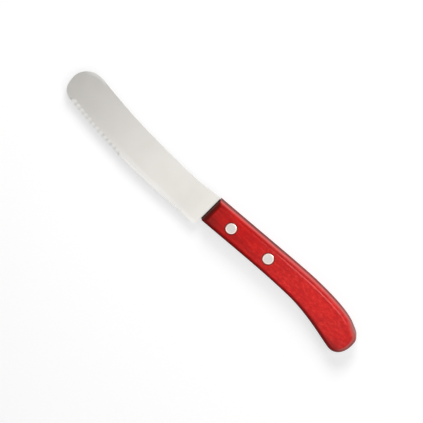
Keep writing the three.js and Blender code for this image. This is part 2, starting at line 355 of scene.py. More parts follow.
@dataclass
class Sheet:
    """Plates cut from outlines that are drawn as closed curves.

    Attributes:
        origin: Place of the outline's zero point in the part's frame, in metres.
        facets: Points along each stroke.
    """

    origin: Vector
    facets: int

    def draw(self, strokes: list[Stroke], height: float) -> bpy.types.Object:
        """Draw an outline as a curve and make a loop of edges of it.

        Args:
            strokes: The strokes, each starting where the last one ends.
            height: Height of the loop above the origin, in millimetres.

        Returns:
            The loop as a mesh object.
        """
        Bench.clear()
        bpy.ops.curve.primitive_bezier_circle_add()
        loop = bpy.context.object
        loop.data.dimensions = "3D"
        loop.data.resolution_u = self.facets
        loop.data.render_resolution_u = self.facets
        spline = loop.data.splines[0]
        spline.bezier_points.add(len(strokes) - len(spline.bezier_points))
        for index, stroke in enumerate(strokes):
            here = spline.bezier_points[index]
            after = spline.bezier_points[(index + 1) % len(strokes)]
            first, second = stroke.pulls()
            bend = "FREE" if stroke.leaving else "VECTOR"
            here.handle_right_type = after.handle_left_type = bend
            here.co = self.place(Vector(stroke.start), height)
            here.handle_right = self.place(first, height)
            after.handle_left = self.place(second, height)
        Bench.pick(loop)
        bpy.ops.object.convert(target="MESH")
        loop = bpy.context.object
        Bench.open_all(loop)
        bpy.ops.mesh.remove_doubles(threshold=MERGE)
        Bench.close()
        return loop

    def place(self, spot: Vector, height: float) -> Vector:
        """Turn a point of the drawing, in millimetres, into a place in the part's frame."""
        return self.origin + Vector((spot.x, spot.y, height)) * MM

    def plate(self, strokes: list[Stroke], thickness: float) -> bpy.types.Object:
        """Cut a plate of even thickness, centred on the origin's height.

        Args:
            strokes: The plate's outline.
            thickness: The plate's thickness, in millimetres.

        Returns:
            The plate as a closed mesh object.
        """
        blank = self.draw(strokes, -thickness / 2)
        Bench.open_all(blank)
        bpy.ops.mesh.edge_face_add()
        bpy.ops.mesh.extrude_region_move(TRANSFORM_OT_translate={"value": (0, 0, thickness * MM)})
        Bench.close()
        Bench.tidy(blank)
        return blank


class Graph:
    """A node tree, built step by step.

    Attributes:
        tree: The node tree.
        known: What has been measured so far.
    """

    def __init__(self, tree: bpy.types.NodeTree) -> None:
        """Start on a node tree.

        Args:
            tree: The node tree.
        """
        self.tree = tree
        self.known: dict[Measure, Socket] = {}

    def node(self, kind: str, **settings: object) -> bpy.types.Node:
        """Add a node.

        Args:
            kind: The node's type name, without its prefix.
            settings: Its properties.

        Returns:
            The node.
        """
        node = self.tree.nodes.new(f"ShaderNode{kind}")
        for name, value in settings.items():
            setattr(node, name, value)
        return node

    def feed(self, socket: Socket, value: object) -> None:
        """Link a socket to another, or set its value.

        Args:
            socket: The input socket.
            value: An output socket, or a plain value.
        """
        if isinstance(value, Socket):
            self.tree.links.new(value, socket)
        else:
            socket.default_value = value

    def place(self, scale: Triple, turn: float = 0.0) -> Socket:
        """Read the piece's own coordinates, stretched and turned about Z.

        Args:
            scale: Repeats per metre along each axis.
            turn: Turn about Z, in degrees.

        Returns:
            The coordinates.
        """
        mapping = self.node("Mapping")
        mapping.inputs["Rotation"].default_value = (0, 0, math.radians(turn))
        mapping.inputs["Scale"].default_value = scale
        self.feed(mapping.inputs["Vector"], self.node("TexCoord").outputs["Object"])
        return mapping.outputs["Vector"]

    def split(self, vector: Socket, axis: Axis) -> Socket:
        """Take one direction's part of a vector.

        Args:
            vector: The vector.
            axis: The direction.

        Returns:
            The part.
        """
        node = self.node("SeparateXYZ")
        self.feed(node.inputs["Vector"], vector)
        return node.outputs[axis.value]

    def ramp(self, value: Socket, tones: Tones) -> Socket:
        """Turn a value into a colour.

        Args:
            value: The value.
            tones: Places and colours along the ramp.

        Returns:
            The colour.
        """
        node = self.node("ValToRGB")
        elements = node.color_ramp.elements
        while len(elements) < len(tones):
            elements.new(0.5)
        for element, (position, colour) in zip(elements, tones):
            element.position = position
            element.color = colour
        self.feed(node.inputs["Fac"], value)
        return node.outputs["Color"]

    def span(self, value: Socket, source: Pair, target: Pair) -> Socket:
        """Map one range of values to another, smoothly and within its ends.

        Args:
            value: The value.
            source: The range that it has.
            target: The range that it gets.

        Returns:
            The mapped value.
        """
        node = self.node("MapRange", interpolation_type="SMOOTHSTEP")
        self.feed(node.inputs["Value"], value)
        node.inputs["From Min"].default_value, node.inputs["From Max"].default_value = source
        node.inputs["To Min"].default_value, node.inputs["To Max"].default_value = target
        return node.outputs["Result"]

    def blend(self, share: object, first: object, second: object) -> Socket:
        """Mix two colours.

        Args:
            share: How much of the second.
            first: The first colour.
            second: The second colour.

        Returns:
            The mixed colour.
        """
        # The node's sockets for colours come after those for numbers and vectors.
        node = self.node("Mix", data_type="RGBA")
        self.feed(node.inputs["Factor"], share)
        self.feed(node.inputs[6], first)
        self.feed(node.inputs[7], second)
        return node.outputs[2]

    def choose(self, switch: Socket, off: object, on: object) -> Socket:
        """Choose between two values.

        Args:
            switch: The switch, 0 or 1.
            off: The value while it is off.
            on: The value while it is on.

        Returns:
            The chosen value.
        """
        node = self.node("Mix", data_type="FLOAT")
        self.feed(node.inputs[0], switch)
        self.feed(node.inputs[2], off)
        self.feed(node.inputs[3], on)
        return node.outputs[0]

    def calculate(self, kind: Calculation, *values: object) -> Socket:
        """Calculate with values.

        Args:
            kind: The calculation.
            values: Its values, in order.

        Returns:
            The result.
        """
        node = self.node("Math", operation=kind.value)
        for socket, value in zip(node.inputs, values):
            self.feed(socket, value)
        return node.outputs["Value"]

    def rays(self) -> tuple[Socket, Socket]:
        """Tell the camera's rays and mirrored ones from the others.

        Returns:
            A switch for each of the two.
        """
        seen = self.node("LightPath").outputs
        mirrored = self.calculate(Calculation.GREATER, seen["Is Glossy Ray"], seen["Is Transmission Ray"])
        return seen["Is Camera Ray"], mirrored

    def measured(self, measure: "Measure") -> Socket:
        """Measure something, or give what it measured before.

        Args:
            measure: What is measured.

        Returns:
            The measured value.
        """
        if measure not in self.known:
            self.known[measure] = measure.read(self)
        return self.known[measure]

    def band(self, band: "Band") -> Socket:
        """Find a band's share at each spot."""
        return self.span(self.measured(band.measure), band.ends, band.shares)

    def meet(self, bands: "tuple[Band, ...]") -> Socket:
        """Find where some bands meet.

        Args:
            bands: The bands.

        Returns:
            The product of their shares.
        """
        share, *others = (self.band(band) for band in bands)
        for other in others:
            share = self.calculate(Calculation.TIMES, share, other)
        return share


class Surface(Graph):
    """A material's node tree.

    Attributes:
        material: The material.
        shader: Its main shader node.
    """

    def __init__(self, name: str) -> None:
        """Start a material with one main shader.

        Args:
            name: The material's name.
        """
        self.material = bpy.data.materials.new(name)
        self.material.use_nodes = True
        super().__init__(self.material.node_tree)
        self.shader = self.tree.nodes["Principled BSDF"]

    def give(self, socket: str, value: object) -> None:
        """Feed one of the main shader's sockets."""
        self.feed(self.shader.inputs[socket], value)

    def relief(self, height: Socket, depth: float) -> None:
        """Raise the surface by a height map.

        Args:
            height: The height, about 0 to 1.
            depth: Its depth, in metres.
        """
        bump = self.node("Bump")
        bump.inputs["Strength"].default_value = 1.0
        bump.inputs["Distance"].default_value = depth
        self.feed(bump.inputs["Height"], height)
        self.give("Normal", bump.outputs["Normal"])

    def matt(self, colour: object) -> Socket:
        """Make a plain matt shader.

        Args:
            colour: Its colour.

        Returns:
            The shader.
        """
        node = self.node("BsdfDiffuse")
        self.feed(node.inputs["Color"], colour)
        return node.outputs["BSDF"]

    def glow(self, strength: Socket) -> Socket:
        """Make a white glow.

        Args:
            strength: Its strength.

        Returns:
            The shader.
        """
        node = self.node("Emission")
        self.feed(node.inputs["Strength"], strength)
        return node.outputs["Emission"]

    def join(self, kind: str, *inputs: Socket) -> Socket:
        """Join shaders into one.

        Args:
            kind: The joining node's type name, without its prefix.
            inputs: What goes into it, in order.

        Returns:
            The joined shader.
        """
        node = self.node(kind)
        for socket, value in zip(node.inputs, inputs):
            self.feed(socket, value)
        return node.outputs["Shader"]


class Measure(ABC):
    """Something that a material can measure at each spot of a surface."""

    @abstractmethod
    def read(self, graph: Graph) -> Socket:
        """Measure it.

        Args:
            graph: The material's nodes.

        Returns:
            The measured value.
        """


@dataclass(frozen=True)
class Place(Measure):
    """How far a spot lies along one direction, in metres."""

    axis: Axis

    def read(self, graph: Graph) -> Socket:
        """Split the direction off the spot's place."""
        return graph.split(graph.place((1, 1, 1)), self.axis)


@dataclass(frozen=True)
class Facing(Measure):
    """How far the surface faces one direction, from -1 to 1."""

    axis: Axis

    def read(self, graph: Graph) -> Socket:
        """Split the direction off the surface's normal."""
        return graph.split(graph.node("TexCoord").outputs["Normal"], self.axis)


@dataclass(frozen=True)
class FromAxis(Measure):
    """How far a spot lies from an upright axis, in metres.

    Attributes:
        centre: The axis, along and across the knife.
    """

    centre: Pair

    def read(self, graph: Graph) -> Socket:
        """Measure the distance on the level.

        Args:
            graph: The material's nodes.

        Returns:
            The distance.
        """
        node = graph.node("VectorMath", operation="DISTANCE")
        graph.feed(node.inputs[0], graph.place((1, 1, 0)))
        graph.feed(node.inputs[1], (*self.centre, 0))
        return node.outputs["Value"]


@dataclass(frozen=True)
class FromEdge(Measure):
    """How far a spot lies across from an edge that falls along the knife, in metres.

    Attributes:
        run: Where the edge starts and stops falling, along the knife.
        edge: Where it lies there, across the knife.
    """

    run: Pair
    edge: Pair

    def read(self, graph: Graph) -> Socket:
        """Take the edge's place from the spot's place."""
        edge = graph.span(graph.measured(ALONG), self.run, self.edge)
        return graph.calculate(Calculation.LESS, graph.measured(ACROSS), edge)


@dataclass(frozen=True)
class OpenSky(Measure):
    """How much of the sky a spot sees, from 0 to 1.

    Attributes:
        reach: How far away something still covers it, in metres.
    """

    reach: float

    def read(self, graph: Graph) -> Socket:
        """Look around the spot.

        Args:
            graph: The material's nodes.

        Returns:
            The open share.
        """
        node = graph.node("AmbientOcclusion")
        node.inputs["Distance"].default_value = self.reach
        return node.outputs["AO"]


@dataclass(frozen=True)
class Pattern(Measure):
    """A soft uneven pattern, about 0.5.

    Attributes:
        scale: Repeats per metre along each axis.
        detail: Number of finer layers.
        roughness: Share of the finer layers.
        turn: Turn about Z, in degrees.
    """

    scale: Triple
    detail: float
    roughness: float = 0.5
    turn: float = 0.0

    def read(self, graph: Graph) -> Socket:
        """Lay the pattern over the piece.

        Args:
            graph: The material's nodes.

        Returns:
            The pattern's value.
        """
        noise = graph.node("TexNoise")
        noise.inputs["Scale"].default_value = 1.0
        noise.inputs["Detail"].default_value = self.detail
        noise.inputs["Roughness"].default_value = self.roughness
        graph.feed(noise.inputs["Vector"], graph.place(self.scale, self.turn))
        return noise.outputs["Fac"]


# What most bands go by: a place in metres, or the way that the surface faces.
ALONG, ACROSS, HEIGHT = (Place(axis) for axis in Axis)
TO_BUTT, TO_SPINE = Facing(Axis.ALONG), Facing(Axis.ACROSS)


@dataclass(frozen=True)
class Band:
    """A soft change in one measure.

    Attributes:
        measure: What is measured.
        ends: Where the change starts and ends, in the measure's own units.
        shares: The share at both ends.
    """

    measure: Measure
    ends: Pair
    shares: Pair = (0, 1)


@dataclass(frozen=True)
class Overlay:
    """A colour that lies over a finish where its bands meet.

    Attributes:
        name: What it shows on the piece.
        colour: The colour.
        bands: Where it lies.
    """

    name: str
    colour: Colour
    bands: tuple[Band, ...]

    def lay(self, graph: Graph, under: Socket) -> Socket:
        """Lay this colour over another.

        Args:
            graph: The material's nodes.
            under: The colour under it.

        Returns:
            The covered colour.
        """
        covered = graph.blend(graph.meet(self.bands), under, self.colour)
        covered.node.label = self.name
        return covered


@dataclass(frozen=True)
class BareMetal:
    """Metal with the fine marks of its making.

    Attributes:
        name: Name of the material.
        base: Colour of the clean metal.
        worn: Colour of its duller clouds.
        roughness: Lowest and highest roughness.
        cloud: Pattern of the clouds.
        tones: Where in that pattern the duller and the clean colour are full.
        marks: Pattern of the marks.
        depth: Depth of the marks, in millimetres.
        painted_light: Painted highlights and shade that lie over it.
    """

    name: str
    base: Colour
    worn: Colour
    roughness: Pair
    cloud: Pattern
    tones: Pair
    marks: Pattern
    depth: float
    painted_light: tuple[Overlay, ...] = ()

    def material(self) -> bpy.types.Material:
        """Make the material.

        Returns:
            The material.
        """
        surface = Surface(self.name)
        tones = tuple(zip(self.tones, (self.worn, self.base)))
        colour = surface.ramp(surface.measured(self.cloud), tones)
        for overlay in self.painted_light:
            colour = overlay.lay(surface, colour)
        marks = surface.measured(self.marks)
        surface.give("Metallic", 1.0)
        surface.give("Base Color", colour)
        surface.give("Roughness", surface.span(marks, PATTERN_RANGE, self.roughness))
        surface.relief(marks, self.depth * MM)
        return surface.material


@dataclass(frozen=True)
class SatinSteel(BareMetal):
    """Stainless steel with fine lengthwise polishing lines."""

    cloud: Pattern = Pattern((60, 60, 60), 2)
    tones: Pair = PATTERN_RANGE
    marks: Pattern = Pattern((40, 9000, 9000), 3)
    depth: float = 0.0006


@dataclass(frozen=True)
class BladeSteel(SatinSteel):
    """The blade's faces, with painted highlights at the edge and the nose, and painted shade at the handle.
    """

    name: str = "satin_steel"
    base: Colour = (0.855, 0.83, 0.786, 1)
    worn: Colour = (0.815, 0.79, 0.746, 1)
    roughness: Pair = (0.3, 0.38)
    painted_light: tuple[Overlay, ...] = (
        # Painted highlight along the cutting edge, strongest in its rear half.
        Overlay("bright_edge", PAINTED_STEEL_HIGHLIGHT, (
            Band(FromEdge((-0.1023, -0.044), (-0.0087, -0.0132)), (0.0004, 0.0048), (0.75, 0)),
            Band(ALONG, (-0.078, -0.05), (0.15, 1)),
        )),
        # Painted highlight in a crescent along the nose, on the spine's side.
        Overlay("bright_nose", PAINTED_STEEL_HIGHLIGHT, (
            Band(ACROSS, (0.008, 0.0115)),
            Band(ALONG, (-0.098, -0.092), (1, 0)),
            Band(FromAxis((-0.0985, 0.0022)), (0.0086, 0.0104)),
        )),
        # Painted shade: a thin dark band on the blade just in front of the handle.
        Overlay("resin_seam", PAINTED_SEAM_SHADE, (
            Band(ALONG, (-0.00295, -0.0026)),
            Band(ALONG, (-0.0021, -0.0018), (1, 0)),
        )),
    )


@dataclass(frozen=True)
class TurnedAluminium(BareMetal):
    """Rivet metal, faced off flat with fine turning marks."""

    cloud: Pattern = Pattern((2200, 2200, 2200), 2)
    tones: Pair = (0.35, 0.65)
    marks: Pattern = cloud
    depth: float = 0.001


class WoodColour(Enum):
    """Colours of the dyed wood, and of the light and shade painted on it."""

    RED = (0.7, 0.0035, 0.003, 1)
    BRIGHT = (0.9, 0.014, 0.008, 1)
    AMBER = (0.94, 0.05, 0.034, 1)
    DEEP = (0.46, 0.002, 0.002, 1)
    # Painted shade on the handle.
    DARK = (0.26, 0.002, 0.002, 1)
    # Painted light on the handle's walls.
    PALE = (0.99, 0.095, 0.085, 1)
    # Painted highlight on the spine's round-over.
    RUBBED = (0.84, 0.13, 0.12, 1)
    # Painted reflection over painted shade at the butt's end.
    FADED = (0.52, 0.15, 0.135, 1)
    # A dark line: painted shade at mid-height of the walls, and the ring around each rivet.
    CORE = (0.2, 0.012, 0.01, 1)
    # Painted shade at the handle's front.
    END_GRAIN = (0.115, 0.006, 0.004, 1)


# The handle's round end, as far as it turns under.
BUTT_END = (Band(TO_SPINE, (-0.45, -0.1)), Band(ALONG, (0.095, 0.105)))


@dataclass(frozen=True)
class LacqueredWood:
    """Red-dyed laminated wood under a clear lacquer.

    Attributes:
        name: Name of the material.
        streaks: Pattern of the lengthwise streaks.
        streak_tones: Their colours along that pattern.
        flecks: Pattern of the flecks.
        fleck_tones: Their colours.
        cloud: Pattern of the broad patches.
        cloud_tones: Their colours.
        flecked: Share of the flecks against the streaks.
        cloudy: Share of the patches.
        pores: Depth of the streaks, in millimetres.
        roughness: Lowest and highest roughness of the lacquer.
        index: The lacquer's index of refraction.
        gloss: The lacquer's reflection, where 0.5 is full.
        middle: Height of the middle of the handle, in metres.
        wall_light_band: Where light is painted on the walls, by height from the middle to the face.
        mid_shade_band: Where shade is painted in a dark line at mid-height, about the tang.
        ring: The dark ring around each rivet, from its centre, in metres.
        ring_shares: Share of the ring at both of those.
        painted_light: Painted shade, highlights and reflections on the handle.
    """

    name: str = "lacquered_red_wood"
    streaks: Pattern = Pattern((60, 800, 800), 4, 0.65, 3)
    streak_tones: Tones = ((0.41, WoodColour.DEEP.value), (0.5, WoodColour.RED.value), (0.6, WoodColour.BRIGHT.value))
    flecks: Pattern = Pattern((450, 800, 800), 3, 0.6, 3)
    fleck_tones: Tones = ((0.26, WoodColour.DEEP.value), (0.5, WoodColour.RED.value), (0.74, WoodColour.AMBER.value))
    cloud: Pattern = Pattern((60, 140, 140), 3)
    cloud_tones: Tones = ((0.3, WoodColour.DEEP.value), (0.55, WoodColour.RED.value), (0.75, WoodColour.BRIGHT.value))
    flecked: Band = Band(ALONG, (0, 0.07), (0.35, 0.82))
    cloudy: float = 0.22
    pores: float = 0.004
    roughness: Pair = (0.16, 0.26)
    index: float = 1.34
    gloss: Band = Band(ALONG, (0.015, 0.06), (0.3, 0.5))
    middle: float = 0.006
    # Painted light on the walls, and painted shade in a line at mid-height.
    wall_light_band: Tones = ((0.06, BLACK), (0.14, WHITE), (0.7, WHITE), (0.86, BLACK))
    mid_shade_band: Tones = ((0.03, WHITE), (0.08, BLACK))
    ring: Pair = (0.0036, 0.0042)
    ring_shares: Pair = (0.7, 0)
    painted_light: tuple[Overlay, ...] = (
        # Painted shade: darker towards the front and the belly's side.
        Overlay("dyed_front", WoodColour.DARK.value, (
            Band(ALONG, (0, 0.07), (0.7, 0)), Band(ACROSS, (-0.009, 0.006), (1, 0.35)),
        )),
        # Painted shade on the belly's side at the butt.
        Overlay("low_butt", WoodColour.DARK.value, (
            Band(ALONG, (0.09, 0.105), (0, 0.6)), Band(ACROSS, (-0.0085, 0.0005), (1, 0)),
        )),
        # Painted shade on the face near the front, darkest towards the belly's corner.
        Overlay("front_corner", WoodColour.END_GRAIN.value, (
            Band(ALONG, (-0.002, 0.013), (0.8, 0)), Band(ACROSS, (-0.006, 0.004), (1, 0.3)),
        )),
        # Painted shade on the round-over that faces away from the light, along the belly.
        Overlay("belly", WoodColour.DARK.value, (Band(TO_SPINE, (-0.75, -0.05), (0.85, 0)),)),
        # Painted shade on the belly's round-over in the rear half.
        Overlay("rear_belly", WoodColour.DARK.value, (
            Band(TO_SPINE, (-0.6, 0.02), (0.72, 0)), Band(ALONG, (0.045, 0.09)),
        )),
        # Painted shade along the belly's edge, towards the butt.
        Overlay("belly_edge", WoodColour.DARK.value, (
            Band(FromEdge((0.0629, 0.103), (-0.00368, -0.00983)), (0.0028, 0.0055), (0.5, 0)),
            Band(ALONG, (0.06, 0.09)),
        )),
        # Painted shade in a thin line on the spine's round-over, between its highlights.
        Overlay("dark_ply", WoodColour.DARK.value, (
            Band(TO_SPINE, (0.25, 0.48)), Band(TO_SPINE, (0.6, 0.85), (1, 0)),
            Band(ALONG, (0, 0.035), (0.2, 0.48)), Band(ALONG, (0.055, 0.085), (1, 0)),
        )),
        # Painted highlight: a pale pink band along the spine's round-over and wall.
        Overlay("rubbed_spine", WoodColour.RUBBED.value, (
            Band(TO_SPINE, (0.7, 0.94), (0, 0.8)), Band(TO_SPINE, (0.985, 1), (1, 0.4)),
        )),
        # Painted reflection over painted shade on the butt's round end.
        Overlay("faded_butt", WoodColour.FADED.value, (*BUTT_END, Band(TO_BUTT, (0.03, 0.3), (0, 0.75)))),
        # Painted shade on the faces of the butt's end.
        Overlay("turned_butt", WoodColour.DARK.value, (*BUTT_END, Band(TO_BUTT, (0.5, 0.85), (0, 0.75)))),
        # Painted shade on the lower half of the spine's wall.
        Overlay("spine_wall", WoodColour.DARK.value, (
            Band(TO_SPINE, (0.9, 1)), Band(HEIGHT, (0.0045, 0.008), (0.5, 0)),
        )),
        # Painted shade on the handle's front face.
        Overlay("cut_front", WoodColour.END_GRAIN.value, (
            Band(TO_BUTT, (-0.5, -0.06), (1, 0)), Band(TO_SPINE, (0, 0.4), (1, 0.3)),
            Band(ACROSS, (0.003, 0.008), (1, 0.88)),
        )),
    )

    def material(self, rivets: list[Vector]) -> bpy.types.Material:
        """Make the material.

        Args:
            rivets: Centres of the rivets.

        Returns:
            The material.
        """
        surface = Surface(self.name)
        streaks = surface.measured(self.streaks)
        flecks = surface.measured(self.flecks)
        cloud = surface.measured(self.cloud)
        grain = surface.ramp(streaks, self.streak_tones)
        spots = surface.ramp(flecks, self.fleck_tones)
        patches = surface.ramp(cloud, self.cloud_tones)
        colour = surface.blend(self.cloudy, surface.blend(surface.band(self.flecked), grain, spots), patches)
        colour = self.paint_walls(surface, colour)
        for overlay in (*self.painted_light, *map(self.rivet_ring, rivets)):
            colour = overlay.lay(surface, colour)
        surface.give("Base Color", colour)
        surface.give("Roughness", surface.span(cloud, PATTERN_RANGE, self.roughness))
        surface.give("IOR", self.index)
        surface.give("Specular IOR Level", surface.band(self.gloss))
        surface.relief(streaks, self.pores * MM)
        return surface.material

    def paint_walls(self, surface: Surface, colour: Socket) -> Socket:
        """Paint light on the walls and a line of shade at mid-height, alike on both sides of the middle.

        Args:
            surface: The material's nodes.
            colour: Colour of the wood.

        Returns:
            The colour with the painted light and shade.
        """
        above = surface.calculate(Calculation.LESS, surface.measured(HEIGHT), self.middle)
        level = surface.span(surface.calculate(Calculation.SIZE, above), (0, self.middle), (0, 1))
        colour = surface.blend(surface.ramp(level, self.wall_light_band), colour, WoodColour.PALE.value)
        return surface.blend(surface.ramp(level, self.mid_shade_band), colour, WoodColour.CORE.value)

    def rivet_ring(self, place: Vector) -> Overlay:
        """Draw the dark ring around a rivet."""
        band = Band(FromAxis((place.x, place.y)), self.ring, self.ring_shares)
        return Overlay("rivet_ring", WoodColour.CORE.value, (band,))


@dataclass
class Handle:
    """The one-piece wooden handle, with its tang slot and rivet bores. Sizes in millimetres.

    Attributes:
        origin: Zero point of the drawing, on the handle's front, in metres.
        rivets: Centres of the rivets, in metres.
        thickness: The handle's thickness.
        front_spine: Where the front meets the spine, across the handle.
        front_belly: Where it meets the belly.
        front_slope: Direction of the spine and the belly there.
        crest: Highest point of the spine.
        rump: Where the spine turns down to the butt.
        rump_slope: Its direction there.
        butt: Rearmost point.
        palm: Lowest point of the belly, by the butt.
        hollow: Highest point of the belly.
        round_over: Radius of the edges around both faces.
        round_steps: Facets across it.
        corner: Radius of the front's upright corners.
        corner_steps: Facets across it.
        facets: Points along each stroke of the outline.
        smooth_below: Edges sharper than this, in degrees, stay sharp.
        slot_width: Width of the saw cut for the tang.
        slot_end: Where it ends, along the handle.
        saw_lead: How far the saw runs out in front.
        saw_length: Length of the saw across the handle.
        head_bore: Width of the bore for a rivet's head.
        shank_bore: Width of the bore for its shank.
        head_seat: Height of the step between them, from the middle.
        finish: The wood's finish.
    """

    origin: Vector
    rivets: list[Vector]
    thickness: float = 12.0
    front_spine: float = 8.9
    front_belly: float = -7.15
    front_slope: Pair = (1, 0.05)
    crest: Pair = (72.4, 12.6)
    rump: Pair = (104.8, 8.9)
    rump_slope: Pair = (1, -0.45)
    butt: Pair = (113.0, -0.2)
    palm: Pair = (105.2, -10.45)
    hollow: Pair = (65.1, -4.3)
    round_over: float = 3.0
    round_steps: int = 10
    corner: float = 0.5
    corner_steps: int = 4
    facets: int = 28
    smooth_below: float = 32.0
    slot_width: float = 2.1
    slot_end: float = 49.0
    saw_lead: float = 20.0
    saw_length: float = 80.0
    head_bore: float = 6.95
    shank_bore: float = 5.0
    head_seat: float = 4.25
    finish: LacqueredWood = LacqueredWood()

    def strokes(self) -> list[Stroke]:
        """Give the outline.

        Returns:
            The strokes, round from the spine's front corner.
        """
        spine, belly = (0.0, self.front_spine), (0.0, self.front_belly)
        back = (-self.front_slope[0], -self.front_slope[1])
        return [
            Stroke(spine, self.crest, self.front_slope, (1, 0), (0.36, 0.16)),
            Stroke(self.crest, self.rump, (1, 0), self.rump_slope, (0.45, 0.2)),
            Stroke(self.rump, self.butt, self.rump_slope, (0, -1), (0.55, 0.48)),
            Stroke(self.butt, self.palm, (0, -1), (-1, 0), (0.55, 0.3)),
            Stroke(self.palm, self.hollow, (-1, 0), (-1, 0), (0.1, 0.45)),
            Stroke(self.hollow, belly, (-1, 0), back, (0.35, 0.33)),
            Stroke(belly, spine),
        ]

    def blank(self) -> bpy.types.Object:
        """Saw out the handle and round its edges over.

        Returns:
            The handle without its slot and bores.
        """
        blank = Sheet(self.origin, self.facets).plate(self.strokes(), self.thickness)
        Bench.open(blank)
        Bench.choose(blank, Element.EDGE, lambda a, b: abs(a.z - b.z) < NEAR)
        Bench.round_over(self.round_over, self.round_steps)
        front = self.origin.x + NEAR
        Bench.choose(
            blank, Element.EDGE, lambda a, b: max(a.x, b.x) < front and (a.xy - b.xy).length < NEAR
        )
        Bench.round_over(self.corner, self.corner_steps)
        Bench.close()
        Bench.tidy(blank)
        return blank

    def slot(self) -> bpy.types.Object:
        """Make the saw cut for the tang.

        Returns:
            A block as wide as the cut.
        """
        centre = self.origin + Vector(((self.slot_end - self.saw_lead) / 2, 0, 0)) * MM
        length = self.slot_end + self.saw_lead
        return Bench.block("slot", centre, (length, self.saw_length, self.slot_width))

    def bore(self, place: Vector) -> bpy.types.Object:
        """Make one stepped rivet bore.

        Args:
            place: The rivet's centre, in metres.

        Returns:
            The bore as a solid.
        """
        bore = Bench.rod(self.shank_bore / 2, 2 * self.head_seat, place)
        Bench.settle(bore, "bore")
        reach = (self.thickness - self.head_seat) * MM
        grow = self.head_bore / self.shank_bore
        for side in (1, -1):
            end = place.z + side * self.head_seat * MM
            Bench.open(bore)
            Bench.choose(
                bore, Element.FACE, lambda *corners: all(abs(corner.z - end) < NEAR for corner in corners)
            )
            bpy.ops.mesh.extrude_region_move(TRANSFORM_OT_translate={"value": (0, 0, 0)})
            bpy.ops.transform.resize(value=(grow, grow, 1))
            bpy.ops.mesh.extrude_region_move(TRANSFORM_OT_translate={"value": (0, 0, side * reach)})
            Bench.close()
        Bench.tidy(bore)
        return bore

    def build(self) -> bpy.types.Object:
        """Model the handle.

        Returns:
            The finished piece.
        """
        piece = self.blank()
        Bench.cut(piece, self.slot(), Cut.AWAY)
        for place in self.rivets:
            Bench.cut(piece, self.bore(place), Cut.AWAY)
        Bench.settle(piece, "wooden_handle")
        Bench.smooth(piece, self.smooth_below)
        self.dress(piece)
        return piece

    def dress(self, piece: bpy.types.Object) -> None:
        """Lacquer the handle and set it on the frame.

        Args:
            piece: The handle.
        """
        piece.data.materials.clear()
        piece.data.materials.append(self.finish.material(self.rivets))
        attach(piece, "root")
        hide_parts("handle")


